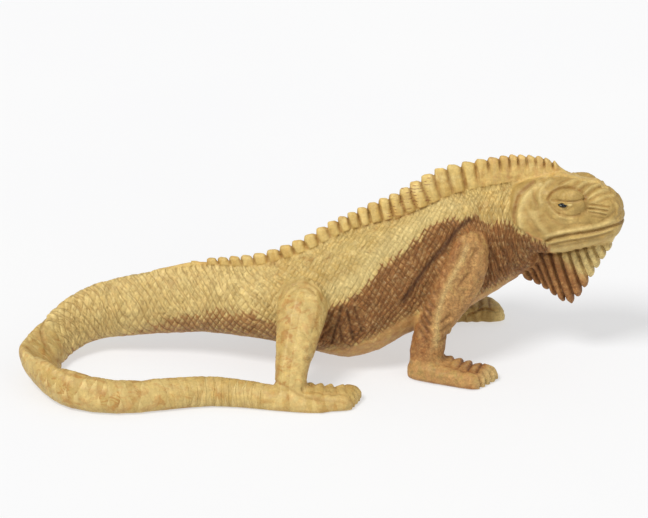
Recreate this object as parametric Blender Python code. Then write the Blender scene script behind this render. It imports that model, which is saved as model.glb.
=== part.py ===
"""A wooden iguana, carved from one block: it stands on four feet and the end of its tail.

The animal looks along +X, its right side is at -Y, and +Z is up. Its tail swings round to the right
and its tip lies along the right hind foot. The pose is drawn in units of a 606th of the figure's length,
and every form is a loft through a few stations of that drawing, joined into one solid.
"""
import math

import bmesh
import bpy
from mathutils import Matrix, Vector

# Driving sizes, in metres
LENGTH = 0.330                    # from the snout to the outside of the tail's bend
CREST_NOTCH = 0.0038              # depth of the notches between the crest's teeth
CREST_THICKNESS = 0.0056          # the crest across its foot
DEWLAP_THICKNESS = 0.0085         # the throat fan across its root
RIB_RELIEF = 0.30                 # share of the thickness that is lost in a groove between two ribs
KNUCKLE_DEPTH = 0.0014            # grooves across the top of a foot
TOE_GAP = 0.0026                  # width of the gaps between two toes at their tips
GROOVE_RADIUS = 0.0007            # mouth line and lid creases
LID_HALF_LENGTH = 0.0112          # the dome of the eyelids
EYE_HALF_LENGTH = 0.0028          # the lens of the eye in the middle of the lids
SOLE_TRIM = 0.0006                # what is planed off under the feet and tail to make them flat
SHORTEST_EDGE = 0.00001           # shorter edges, left where cuts meet, are closed up

# The pose drawing
UNITS_LONG = 606.0
UNIT = LENGTH / UNITS_LONG

# Tail, trunk and neck: x, y, underside, top, half width, how far the top leans out of the tail's bend,
# and the peakedness of the top (2 is round, less is a ridge)
TRUNK = [
    (342, -141, 1, 9, 5, 0, 2.0),
    (322, -145, -1, 14, 8.5, 0, 1.9),
    (296, -141, -1, 19, 12, 0, 1.8),
    (262, -132, -1, 23, 15.5, 0, 1.8),
    (213, -125, -1, 27, 16.5, 0, 1.8),
    (160, -134, -1, 28.5, 18, 0, 1.8),
    (118, -141, -1, 30.5, 18.5, 1, 1.8),
    (80, -131, -1, 38, 18, 7, 1.7),
    (59, -106, -1, 43, 15.5, 20, 1.5),
    (50, -76, -1, 42, 14.5, 30, 1.3),
    (51, -40, 1, 49, 15.5, 10, 1.4),
    (67, -13, 6, 61, 18.5, 4, 1.5),
    (97, 0, 13, 73.5, 20.5, 2, 1.6),
    (131, -2, 18, 83, 22.5, 0, 1.7),
    (165, -4, 22, 90, 25, 0, 1.7),
    (205, -9, 26, 97, 29, 0, 1.8),
    (250, -20, 27, 101, 35, 0, 1.8),
    (278, -24, 24, 109, 40, 0, 1.9),
    (308, -25, 17, 121, 46, 0, 2.0),
    (345, -23, 8, 140, 51, 0, 2.0),
    (375, -19, 14, 148, 53, 0, 2.0),
    (400, -15, 28, 153, 51, 0, 2.0),
    (425, -10, 36, 162, 47, 0, 2.0),
    (450, -5, 43, 172, 42, 0, 1.9),
    (475, -2, 55, 178, 39, 0, 1.8),
    (500, -2, 70, 183, 36, 0, 1.8),
    (520, -4, 85, 187, 32, 0, 1.9),
    (540, -9, 100, 189, 27, 0, 2.0),
]
TRUNK_POINTS = 18
TRUNK_RINGS_PER_STATION = 2

# Head: the axis starts behind the jowls and is turned to the animal's right and lifted
HEAD_START = (525, -5, 150)
HEAD_TURN = 19.0
HEAD_LIFT = 12.0
# distance along the axis, half width, rise above the axis, drop below it
HEAD = [
    (-8, 24, 29, 22),
    (-5, 30, 34, 29),
    (2, 35, 38.5, 35),
    (14, 37.5, 42, 38),
    (30, 37.5, 43, 39),
    (48, 34, 42.5, 39),
    (64, 29.5, 36.5, 36.5),
    (76, 26, 31, 34),
    (84, 24, 27.5, 32),
    (92, 20.5, 21.5, 28),
    (98, 16.5, 16.5, 23),
    (102, 11.5, 11, 16.5),
    (103.5, 6, 5, 10),
]
HEAD_POINTS = 18
# middle of the eyelids' dome: along the head's axis, across and above it
LIDS = (57.7, 22, 17.5)
LID_HEIGHT = 0.72                 # of the dome, as a share of its length
LID_DEPTH = 0.46
EYE_PLACE = (-2, 2.9)             # middle of the eye, along and above the middle of the lids
JOWL = [(31, 42), (26, 38.5), (24.5, 32), (25, 25), (28, 19)]
NOSE_PLATE = (79, 0, 27)
MOUTH = [(24, -17.5), (34, -15.5), (50, -15), (68, -15), (84, -14), (96, -13), (102.5, -12)]

# Crest: where its teeth point, and its height above the back's own top
TEETH = (209.5, 220.5, 232.5, 244, 256.5, 270, 283, 295, 307, 319, 330, 340.5, 350, 360, 370.5, 382, 392,
         402.5, 412.5, 424, 437.5, 450, 465.5, 479, 491, 502.5, 511.5, 520, 529, 538, 546, 555)
CREST = [(150, 1.5), (180, 3.5), (203, 6), (225, 8.5), (250, 12), (300, 13), (345, 15.5), (375, 22.5),
         (400, 26.5), (425, 29.5), (450, 30), (475, 29.5), (500, 29), (520, 28), (540, 26.5), (554, 22),
         (570, 8)]
NECK_STARTS = 470                 # from here the notches are shallower
CREST_ROOT = 9                    # depth of the crest's foot inside the back
CREST_LEAN = 0.9                  # share of the back's slope by which the teeth lean towards the tail

# Dewlap: root and free edge of each rib, as x and z in the head's middle plane
DEWLAP = [
    ((514, 104), (519, 87)),
    ((519, 110), (532, 80)),
    ((524, 114), (541, 77)),
    ((530, 118), (549, 73)),
    ((536, 122), (557, 67)),
    ((544, 126), (565, 62)),
    ((553, 130), (574, 61)),
    ((562, 133), (581.5, 71)),
    ((570, 136), (588, 83)),
    ((578, 139), (593.5, 95)),
    ((586, 142), (599, 106)),
    ((593, 145), (604, 116)),
    ((600, 148), (610, 127)),
    ((605, 151), (614.5, 137)),
]
# one rib, from its middle to the next one: share of the way, setback of the edge, share of the full width
RIB_PROFILE = [(0, 0, 1), (0.28, 0.015, 0.9), (0.5, 0.08, 0), (0.72, 0.015, 0.9)]

# Legs: x, y, z of the middle, half length along the body, half thickness
HIND_LEG = [
    (304, -40, 82, 20, 19),
    (304, -56, 86, 25, 22),
    (303, -72, 82, 26, 22.5),
    (300, -88, 70, 24.5, 20),
    (296, -106, 53, 20.5, 17),
    (292, -121, 36, 17, 16),
    (291, -130, 20, 16.5, 15),
    (291, -132, 6, 16.5, 15),
]
FRONT_LEG = [
    (474, -22, 142, 15, 14),
    (470, -38, 131, 20, 17),
    (463, -47, 111, 25, 17),
    (453, -52, 91, 25, 16.5),
    (441, -56, 70, 21.5, 16),
    (431.5, -60, 48, 17.5, 16),
    (427.5, -64, 28, 17.5, 16),
    (427, -66, 8, 17.5, 15),
]
LEG_POINTS = 10

# Feet: x and y of the heel, heading towards the outside in degrees, length, half width
FEET = {
    "hind_right": (272, -131, 0, 90, 20),
    "front_right": (411, -56, 21, 89, 22),
    "hind_left": (273, 82, 8, 90, 21),
    "front_left": (423, 78, 2, 88, 23),
}
FOOT_HEIGHT = 22
FOOT_POINTS = 10
# share of the length, reach outwards and inwards as shares of the half width, height as a share
SOLE = [(0, 0.45, 0.35, 0.50), (0.03, 0.72, 0.60, 0.80), (0.10, 0.92, 0.82, 1.0), (0.24, 1.0, 0.95, 1.0)]
KNUCKLES = (0.38, 0.49, 0.60, 0.71)   # where grooves cross the foot, as shares of its length
TOES = 5
TOE_LENGTH = 0.17                 # of the gaps, as a share of the foot's length
FOOT_SKEW = 0.10                  # by which the outer toe is shorter than the inner ones
FAR_SIDE_SPREAD = 13              # the left front foot stands this much further out than the right one
FAR_SIDE_STEP = 9                 # and this much further forward


def smooth(keys, per_span):
    """Points on a Catmull-Rom curve through the keys, per_span of them from each key to the next."""
    rows = [Vector(k) for k in keys]
    rows = [2 * rows[0] - rows[1], *rows, 2 * rows[-1] - rows[-2]]
    found = []
    for before, start, end, after in zip(rows, rows[1:], rows[2:], rows[3:]):
        for step in range(per_span):
            t = step / per_span
            found.append(0.5 * (2 * start + (end - before) * t
                                + (2 * before - 5 * start + 4 * end - after) * t ** 2
                                + (3 * start - before - 3 * end + after) * t ** 3))
    return found + [rows[-2]]


def at(keys, x):
    """The row of keys at x, their first column, by straight steps between the rows."""
    for start, end in zip(keys, keys[1:]):
        if x <= end[0]:
            share = max(0.0, (x - start[0]) / (end[0] - start[0]))
            return [a + (b - a) * share for a, b in zip(start, end)]
    return list(keys[-1])


def power(value, exponent):
    return math.copysign(abs(value) ** exponent, value)


def ring(middle, across, up, half, rise, drop, count, top=2.0, bottom=2.4):
    """A closed section: half wide to both sides, rise above and drop below its middle."""
    points = []
    for k in range(count):
        angle = 2 * math.pi * (k + 0.5) / count
        c, s = math.cos(angle), math.sin(angle)
        n = 2 / (top if s > 0 else bottom)
        height = rise if s > 0 else drop
        points.append(middle + across * (half * power(c, n)) + up * (height * power(s, n)))
    return points


def loft(name, rings):
    """One closed mesh through rings of equal count, with flat ends."""
    mesh = bmesh.new()
    loops = [[mesh.verts.new(p * UNIT) for p in points] for points in rings]
    for first, second in zip(loops, loops[1:]):
        for k in range(len(first)):
            mesh.faces.new((first[k - 1], first[k], second[k], second[k - 1]))
    mesh.faces.new(loops[0])
    mesh.faces.new(loops[-1])
    bmesh.ops.recalc_face_normals(mesh, faces=mesh.faces)
    data = bpy.data.meshes.new(name)
    mesh.to_mesh(data)
    mesh.free()
    form = bpy.data.objects.new(name, data)
    forms.objects.link(form)
    return form


def trunk():
    """Tail, body and neck, cut across by upright sections that turn with the spine."""
    stations = smooth(TRUNK, TRUNK_RINGS_PER_STATION)
    rings = []
    for k, (x, y, low, high, half, lean, top) in enumerate(stations):
        ahead, behind = stations[min(k + 1, len(stations) - 1)], stations[max(k - 1, 0)]
        heading = Vector((ahead[0] - behind[0], ahead[1] - behind[1], 0)).normalized()
        outside = Vector((-heading.y, heading.x, 0))
        centre = low + (high - low) * 0.46
        flat = 2.4 + 0.9 * min(1, max(0, 1 - low / 10))
        points = ring(Vector((x, y, centre)), outside, Vector((0, 0, 1)), half, high - centre, centre - low,
                      TRUNK_POINTS, top, flat)
        rings.append([p + outside * (lean * (p.z - low) / (high - low)) for p in points])
    return loft("trunk", rings)


def head_frame():
    """Start, forward, left and up of the head, in drawing units."""
    turn, lift = math.radians(HEAD_TURN), math.radians(HEAD_LIFT)
    forward = Vector((math.cos(lift) * math.cos(turn), -math.cos(lift) * math.sin(turn), math.sin(lift)))
    left = Vector((math.sin(turn), math.cos(turn), 0))
    return Vector(HEAD_START), forward, left, forward.cross(left)


def head_point(along, across, above):
    start, forward, left, up = head_frame()
    return start + forward * along + left * across + up * above


def head_half_width(along, above):
    """Half the head's width at a height above or below its axis."""
    _, half, rise, drop = at(HEAD, along)
    share = min(1.0, abs(above) / (rise if above > 0 else drop))
    power_of_side = 2.2 if above > 0 else 2.4
    return half * (1 - share ** power_of_side) ** (1 / power_of_side)


def head():
    start, forward, left, up = head_frame()
    rings = [ring(start + forward * along, left, up, half, rise, drop, HEAD_POINTS, 2.2, 2.4)
             for along, half, rise, drop in HEAD]
    return loft("head", rings)


def dome(side, along, across, above, half_length, half_height, half_depth, segments):
    """An egg set into the side of the head."""
    bpy.ops.mesh.primitive_uv_sphere_add(segments=segments, ring_count=segments // 2, radius=1.0)
    egg = bpy.context.object
    egg.name = "dome"
    _, forward, left, up = head_frame()
    tilt = Matrix((forward, up * side, left * side)).transposed().to_4x4()
    size = Matrix.Diagonal((half_length, half_height, half_depth, 1))
    egg.data.transform(Matrix.Translation(head_point(along, across * side, above) * UNIT) @ tilt @ size)
    move_to(egg, forms)
    return egg


def eye(side):
    """The dome of the eyelids, with the eye as a small lens in its middle."""
    along, across, above = LIDS
    half = LID_HALF_LENGTH
    lids = dome(side, along, across, above, half, half * LID_HEIGHT, half * LID_DEPTH, 12)
    lens = dome(side, along + EYE_PLACE[0], across + 0.86 * half * LID_DEPTH / UNIT, above + EYE_PLACE[1],
                EYE_HALF_LENGTH, EYE_HALF_LENGTH * 0.6, EYE_HALF_LENGTH * 0.6, 8)
    return join(lids, [lens])


def fin(name, columns):
    """A thin upright wall: each column is a root, a free edge, the half thickness and its direction."""
    levels = ((0.0, 1.0), (0.55, 0.88), (0.93, 0.58))
    rings = []
    for root, edge, half, sideways in columns:
        left_side = [root.lerp(edge, share) + sideways * half * wide for share, wide in levels]
        right_side = [root.lerp(edge, share) - sideways * half * wide for share, wide in reversed(levels)]
        rings.append(left_side + [edge] + right_side)
    return loft(name, rings)


def back_line(x):
    """Middle and top of the back at x, taken from the trunk's own stations."""
    rows = [row for row in smooth(TRUNK, 4) if row[0] > 100 and row[1] > -60]
    return at([(row[0], row[1], row[3]) for row in rows], x)


def crest_column(x, drop, thin):
    """The crest where its edge is at x, lowered by drop."""
    slope = (back_line(x + 12)[2] - back_line(x - 12)[2]) / 24
    lean = slope * CREST_LEAN
    height = at(CREST, x)[1]
    foot_x = x + lean * height
    _, y, top = back_line(foot_x)
    foot = Vector((foot_x, y, top))
    away = Vector((-lean, 0, 1))
    half = 0.5 * CREST_THICKNESS / UNIT * thin
    heading = Vector((24, back_line(x + 12)[1] - back_line(x - 12)[1], 0)).normalized()
    sideways = Vector((-heading.y, heading.x, 0))
    return foot - away * CREST_ROOT, foot + away * max(1.0, height - drop), half, sideways


def crest():
    """The saw-toothed ridge from the tail's root to the top of the head."""
    columns = [crest_column(x, 0, 0.85) for x in (150, 170, 188)]
    before = TEETH[0] - (TEETH[1] - TEETH[0])
    for k, tip in enumerate(TEETH):
        after = TEETH[k + 1] if k + 1 < len(TEETH) else tip + (tip - TEETH[k - 1])
        notch = min(CREST_NOTCH / UNIT * (0.75 if tip > NECK_STARTS else 1), at(CREST, tip)[1] * 0.45)
        columns += [crest_column(tip - 0.33 * (tip - before), notch, 1 - RIB_RELIEF),
                    crest_column(tip - 0.13 * (tip - before), notch * 0.06, 1.04),
                    crest_column(tip + 0.34 * (after - tip), notch * 0.35, 1.04)]
        before = tip
    columns.append(crest_column(CREST[-1][0], 0, 0.8))
    return fin("crest", columns)


def dewlap():
    """The fan under the chin: a rib and a groove for every station."""
    start, forward, left, _ = head_frame()
    half = 0.5 * DEWLAP_THICKNESS / UNIT

    def in_plane(x, z):
        return Vector((x, start.y + (x - start.x) * forward.y / forward.x, z))

    columns = []
    for (root, edge), (next_root, next_edge) in zip(DEWLAP, DEWLAP[1:]):
        a, b = in_plane(*root), in_plane(*edge)
        next_a, next_b = in_plane(*next_root), in_plane(*next_edge)
        for share, setback, wide in RIB_PROFILE:
            root_here, edge_here = a.lerp(next_a, share), b.lerp(next_b, share)
            wide = half * (1 - RIB_RELIEF * (1 - wide))
            columns.append((root_here, edge_here.lerp(root_here, setback), wide, left))
    columns.append((in_plane(*DEWLAP[-1][0]), in_plane(*DEWLAP[-1][1]), half, left))
    return fin("dewlap", columns)


def leg(name, stations):
    """A limb that hangs from the trunk; its sections lie square to its own path."""
    rows = smooth(stations, 2)
    rings = []
    for k, row in enumerate(rows):
        ahead, behind = rows[min(k + 1, len(rows) - 1)], rows[max(k - 1, 0)]
        path = Vector(ahead[:3]) - Vector(behind[:3])
        path.normalize()
        along = (Vector((1, 0, 0)) - path * path.x).normalized()
        half_length, half_depth = row[3], row[4]
        rings.append(ring(Vector(row[:3]), along, path.cross(along), half_length, half_depth, half_depth,
                          LEG_POINTS, 2.3, 2.3))
    return loft(name, rings)


def mirrored(stations, spread, step):
    """The same limb on the left side, its foot moved outwards and forwards."""
    last = len(stations) - 1
    return [(x + step * k / last, -y + 2 * back_line(x)[1] + spread * k / last, z, a, b)
            for k, (x, y, z, a, b) in enumerate(stations)]


def foot_rings():
    """Stations of a foot: those of SOLE at the heel, a ridge and a groove for every knuckle, the toes."""
    rows = list(SOLE)
    step = KNUCKLES[1] - KNUCKLES[0]
    dip = KNUCKLE_DEPTH / UNIT / FOOT_HEIGHT
    for share in KNUCKLES:
        sink = 0.05 * (share - KNUCKLES[0]) / step
        rows.append((share - step * 0.50, 1.0, 1.0, 1.0 - sink))
        rows.append((share, 1.0, 1.0 - dip * 1.4, 1.0 - sink - dip))
    rows += [(0.80, 1.0, 0.98, 0.82), (0.94, 0.90, 0.86, 0.72), (1.0, 0.70, 0.66, 0.48)]
    return rows


def foot(name, heel_x, heel_y, heading, length, half, side):
    """A sole with grooves across it and gaps between the toes; side is -1 for the animal's right."""
    turn = math.radians(heading) * side
    forward = Vector((math.cos(turn), math.sin(turn), 0))
    outward = Vector((-math.sin(turn), math.cos(turn), 0)) * side
    heel = Vector((heel_x, heel_y, 0))
    up = Vector((0, 0, 1))
    sunk = -SOLE_TRIM / UNIT - 0.4
    rings = []
    for share, outer, inner, tall in foot_rings():
        top = FOOT_HEIGHT * tall
        off_centre = half * (outer - inner) / 2
        middle = heel + forward * (length * share) + outward * off_centre + up * (top * 0.45)
        points = ring(middle, outward, up, half * (outer + inner) / 2, top * 0.55, top * 0.45 - sunk,
                      FOOT_POINTS, 2.8, 4)
        skew = FOOT_SKEW * length / half * share ** 2
        rings.append([p - forward * (skew * max(0, (p - heel).dot(outward) + half * 0.4)) for p in points])
    gaps = []
    for k in range(1, TOES):
        place = half * 1.5 * (k / TOES - 0.5)
        gap_end = length * (1.03 - FOOT_SKEW * max(0, place / half + 0.4))
        tip = heel + outward * place * 1.05 + forward * (gap_end - length * TOE_LENGTH)
        mouth = heel + outward * place * 1.15 + forward * (gap_end + 3)
        wide = outward * (0.5 * TOE_GAP / UNIT)
        wedge = (tip, mouth - wide, mouth + wide)
        gaps.append(loft("gap", [[p + up * level for p in wedge] for level in (sunk - 3, FOOT_HEIGHT + 4)]))
    return carve(loft(name, rings), gaps)


def move_to(form, collection):
    for holder in list(form.users_collection):
        holder.objects.unlink(form)
    collection.objects.link(form)


def boolean(target, tool, operation):
    modifier = target.modifiers.new(operation.lower(), "BOOLEAN")
    modifier.operation = operation
    modifier.solver = "EXACT"
    modifier.object = tool
    tool.hide_render = True
    tool.display_type = "WIRE"


def settle(form):
    """Replaces a form's mesh by what its modifiers make of it."""
    graph = bpy.context.evaluated_depsgraph_get()
    made = bpy.data.meshes.new_from_object(form.evaluated_get(graph))
    form.modifiers.clear()
    form.data = made
    return form


def join(target, others):
    for other in others:
        boolean(target, other, "UNION")
    settle(target)
    for other in others:
        bpy.data.objects.remove(other)
    return target


def carve(target, cutters):
    for cutter in cutters:
        boolean(target, cutter, "DIFFERENCE")
    settle(target)
    for cutter in cutters:
        bpy.data.objects.remove(cutter)
    return target


def gouge(name, points, radius, closed=False):
    """A round-bottomed groove cutter along points in drawing units."""
    curve = bpy.data.curves.new(name, "CURVE")
    curve.dimensions = "3D"
    curve.bevel_depth = radius
    curve.bevel_resolution = 0
    curve.use_fill_caps = not closed
    spline = curve.splines.new("POLY")
    spline.points.add(len(points) - 1)
    spline.use_cyclic_u = closed
    for knot, point in zip(spline.points, points):
        knot.co = (*(point * UNIT), 1)
    line = bpy.data.objects.new(name, curve)
    forms.objects.link(line)
    graph = bpy.context.evaluated_depsgraph_get()
    data = bpy.data.meshes.new_from_object(line.evaluated_get(graph))
    mesh = bmesh.new()
    mesh.from_mesh(data)
    bmesh.ops.remove_doubles(mesh, verts=mesh.verts, dist=1e-6)
    bmesh.ops.recalc_face_normals(mesh, faces=mesh.faces)
    mesh.to_mesh(data)
    mesh.free()
    cutter = bpy.data.objects.new(name, data)
    forms.objects.link(cutter)
    bpy.data.objects.remove(line)
    return cutter


def jowl_line(side):
    """The curved groove between the jowl and the cheek."""
    return gouge("jowl", [head_point(a, side * head_half_width(a, v), v) for a, v in JOWL], GROOVE_RADIUS)


def mouth_line():
    """One groove round the snout, from one corner of the mouth to the other."""
    right = [head_point(along, -head_half_width(along, above), above) for along, above in MOUTH]
    left = [head_point(along, head_half_width(along, above), above) for along, above in reversed(MOUTH)]
    return gouge("mouth", right + left, GROOVE_RADIUS)


def lid_crease(side):
    """The groove that rings the dome of the eyelids."""
    along, _, above = LIDS
    reach = LID_HALF_LENGTH / UNIT * 1.02
    points = []
    for k in range(14):
        angle = 2 * math.pi * k / 14
        a, v = along + reach * math.cos(angle), above + reach * LID_HEIGHT * math.sin(angle)
        points.append(head_point(a, side * (head_half_width(a, v) + 0.3), v))
    return gouge("crease", points, GROOVE_RADIUS, closed=True)


def plane_soles(form):
    """Cuts away all that is below the floor and closes the cuts, which leaves flat soles."""
    mesh = bmesh.new()
    mesh.from_mesh(form.data)
    everything = list(mesh.verts) + list(mesh.edges) + list(mesh.faces)
    bmesh.ops.bisect_plane(mesh, geom=everything, dist=1e-7, plane_co=(0, 0, 0), plane_no=(0, 0, -1),
                           clear_outer=True)
    rim = [edge for edge in mesh.edges if edge.is_boundary]
    bmesh.ops.holes_fill(mesh, edges=rim, sides=0)
    bmesh.ops.dissolve_degenerate(mesh, edges=mesh.edges, dist=SHORTEST_EDGE)
    bmesh.ops.recalc_face_normals(mesh, faces=mesh.faces)
    mesh.to_mesh(form.data)
    mesh.free()


def wood():
    material = bpy.data.materials.new("carved_wood")
    material.use_nodes = True
    shader = material.node_tree.nodes["Principled BSDF"]
    shader.inputs["Base Color"].default_value = (0.62, 0.42, 0.17, 1)
    shader.inputs["Roughness"].default_value = 0.55
    shader.inputs["Metallic"].default_value = 0.0
    return material


def stand_at_origin(form):
    """Moves the figure so that the middle of its footprint, on the floor, is the origin."""
    xs, ys, zs = zip(*[v.co for v in form.data.vertices])
    form.data.transform(Matrix.Translation((-(min(xs) + max(xs)) / 2, -(min(ys) + max(ys)) / 2, -min(zs))))


for old in list(bpy.data.objects):
    bpy.data.objects.remove(old)
forms = bpy.data.collections.new("forms")
bpy.context.scene.collection.children.link(forms)
carving = bpy.data.collections.new("wooden_iguana")
bpy.context.scene.collection.children.link(carving)


def iguana():
    limbs = []
    for name, stations in (("hind", HIND_LEG), ("front", FRONT_LEG)):
        right_foot, left_foot = FEET[name + "_right"], FEET[name + "_left"]
        spread = FAR_SIDE_SPREAD if name == "front" else 0
        step = FAR_SIDE_STEP if name == "front" else 0
        left_stations = mirrored(stations, spread, step)
        limbs.append(join(leg(name + "_leg_right", stations),
                          [foot(name + "_foot_right", *right_foot, side=-1)]))
        limbs.append(join(leg(name + "_leg_left", left_stations),
                          [foot(name + "_foot_left", *left_foot, side=1)]))
    plate = dome(1, *NOSE_PLATE, 0.0046, 0.0026, 0.0052, 8)
    skull = join(head(), [eye(-1), eye(1), plate])
    figure = join(trunk(), [skull, crest(), dewlap(), *limbs])
    carve(figure, [mouth_line(), lid_crease(-1), lid_crease(1), jowl_line(-1), jowl_line(1)])
    plane_soles(figure)
    stand_at_origin(figure)
    figure.name = "iguana"
    figure.data.name = "iguana"
    figure.data.materials.clear()
    figure.data.materials.append(wood())
    move_to(figure, carving)


iguana()
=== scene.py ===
"""A hand-carved wooden iguana: the solid is given its scales, gouge marks, eyes and stain.

Places are in units of the pose drawing, a 606th of the figure's length: X runs towards the head, Y to the
animal's left and Z up. Carved lines on the head, the flanks and the legs are drawn where they lie in the
picture, which shows the animal's right side from 24 degrees above, with one unit to a pixel. The lines
of head and flanks are mirrored on the left side; those of legs and tail lie wherever the picture shows them.
"""
import math
from types import SimpleNamespace

import bpy
import numpy as np
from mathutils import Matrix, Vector


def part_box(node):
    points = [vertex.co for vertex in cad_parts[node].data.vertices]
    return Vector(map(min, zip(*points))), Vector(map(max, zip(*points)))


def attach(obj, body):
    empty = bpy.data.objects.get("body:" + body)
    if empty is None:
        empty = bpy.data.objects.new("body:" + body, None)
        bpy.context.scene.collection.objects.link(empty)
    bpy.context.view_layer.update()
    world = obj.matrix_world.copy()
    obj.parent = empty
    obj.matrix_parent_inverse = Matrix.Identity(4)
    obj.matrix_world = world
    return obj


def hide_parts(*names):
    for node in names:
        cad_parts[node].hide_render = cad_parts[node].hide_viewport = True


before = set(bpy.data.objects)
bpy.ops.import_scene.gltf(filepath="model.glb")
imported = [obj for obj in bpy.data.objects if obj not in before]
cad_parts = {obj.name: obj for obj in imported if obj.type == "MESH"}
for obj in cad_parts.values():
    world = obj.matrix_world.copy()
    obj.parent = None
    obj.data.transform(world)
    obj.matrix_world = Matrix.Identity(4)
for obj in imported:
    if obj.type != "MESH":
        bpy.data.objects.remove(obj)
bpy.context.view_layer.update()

# Drawing and picture
FIGURE_LENGTH = 0.330                # metres
UNIT = FIGURE_LENGTH / 606
DRAWING_LOW = (18.34, -159.72, 0.0)  # the drawing's place of the figure's lowest corner
PICTURE_SIZE = (648, 518)
PICTURE_FLOOR = 350                  # the picture's row of the drawing's origin
CAMERA_HEIGHT = math.radians(24)
CAMERA_AWAY = 2.4                    # metres
CAMERA_DEPTH = -40                   # Y of the plane through the camera's target
SENSOR = 36                          # millimetres

# Mesh
GRAIN_OF_MESH = 0.0006
TRIANGLES = 190000
FIRST_ROUNDS = 3                     # rounds of smoothing all over,
SOFT_ROUNDS = 40                     # except where edges belong,
CORNER_ROUNDS = 120                  # and in the corners under the jaw
POINTS_PER_ROW = 8                   # on the backbone's line
FINE_RELIEF = 0.0007                 # height of the finish's own relief, metres

# Tail, trunk and neck: x, y, underside, top, half width, lean of the top
BACKBONE = [
    (342, -141, 1, 9, 5, 0),
    (322, -145, -1, 14, 8.5, 0),
    (296, -141, -1, 19, 12, 0),
    (262, -132, -1, 23, 15.5, 0),
    (213, -125, -1, 27, 16.5, 0),
    (160, -134, -1, 28.5, 18, 0),
    (118, -141, -1, 30.5, 18.5, 1),
    (80, -131, -1, 38, 18, 7),
    (59, -106, -1, 43, 15.5, 20),
    (50, -76, -1, 42, 14.5, 30),
    (51, -40, 1, 49, 15.5, 10),
    (67, -13, 6, 61, 18.5, 4),
    (97, 0, 13, 73.5, 20.5, 2),
    (131, -2, 18, 83, 22.5, 0),
    (165, -4, 22, 90, 25, 0),
    (205, -9, 26, 97, 29, 0),
    (250, -20, 27, 101, 35, 0),
    (278, -24, 24, 109, 40, 0),
    (308, -25, 17, 121, 46, 0),
    (345, -23, 8, 140, 51, 0),
    (375, -19, 14, 148, 53, 0),
    (400, -15, 28, 153, 51, 0),
    (425, -10, 36, 162, 47, 0),
    (450, -5, 43, 172, 42, 0),
    (475, -2, 55, 178, 39, 0),
    (500, -2, 70, 183, 36, 0),
    (520, -4, 85, 187, 32, 0),
    (540, -9, 100, 189, 27, 0),
]
TAIL_TURN_ROW = 10                   # from this row on the tail is on its way to the body
CREST_ROW = 12                       # from here on the rows give the slope of the back
# Places along X
BACK_START = 190
ROOT_OF_TAIL = (262, 230)            # where the rump's scales give way to the tail's
FRONT_FEET = 400

# Scales: backbone row, their length along the animal and their width around it
SCALE_SIZES = [(0, 8.5, 44), (7, 9, 40), (9, 9, 20), (11, 8.2, 15), (14, 7.8, 13), (17, 7.0, 10),
               (19, 6.4, 8.6), (22, 6.4, 8.4), (24, 5.2, 12), (27, 4.8, 15)]

# Head
HEAD_START = (525, -5, 150)
HEAD_TURN = 19.0
HEAD_LIFT = 12.0
EYE = (53.6, 19.7)                   # along and above the head's axis
EYE_HALF_LENGTH = 5.2
EYE_HEIGHT = 2.0                     # of its upper and lower half
EYE_DEPTH = 3.1
GLINT = (-1.7, 0.1)                  # along and above the eye's middle
EYE_CORNER = (7.0, 0.2)
SNOUT_SIDE = (586, 207)              # column and row in the picture
FAR_BROW = (61, 29, 12)              # along, above and beside the head's axis
NOSE_BUMP = (79, 29, 13)

# Right legs: x, y, z, radius
HIND_LEG = [(304, -40, 82, 19), (304, -60, 86, 24), (303, -74, 81, 25), (300, -90, 68, 23),
            (296, -108, 50, 19), (292, -124, 32, 17), (291, -131, 12, 16)]
FRONT_LEG = [(474, -24, 141, 15), (470, -38, 131, 19), (463, -47, 111, 22), (453, -52, 91, 21),
             (441, -56, 70, 19), (431.5, -60, 48, 17), (427.5, -64, 28, 17), (427, -66, 12, 16.5)]
# Y of the plane that mirrors a leg, and how far the left one's foot then stands further out and forwards
LEGS = {"hind_leg": (HIND_LEG, -24, 0, 0), "front_leg": (FRONT_LEG, -4, 13, 9)}
# Feet: x and y of the heel, heading outwards in degrees, length, half width, side
FEET = [(272, -131, 0, 90, 20, -1), (411, -56, 21, 89, 22, -1),
        (273, 82, 8, 90, 21, 1), (423, 78, 2, 88, 23, 1)]
FOOT_HEIGHT = 22
KNUCKLES = (0.38, 0.49, 0.60, 0.71, 0.82)

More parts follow.
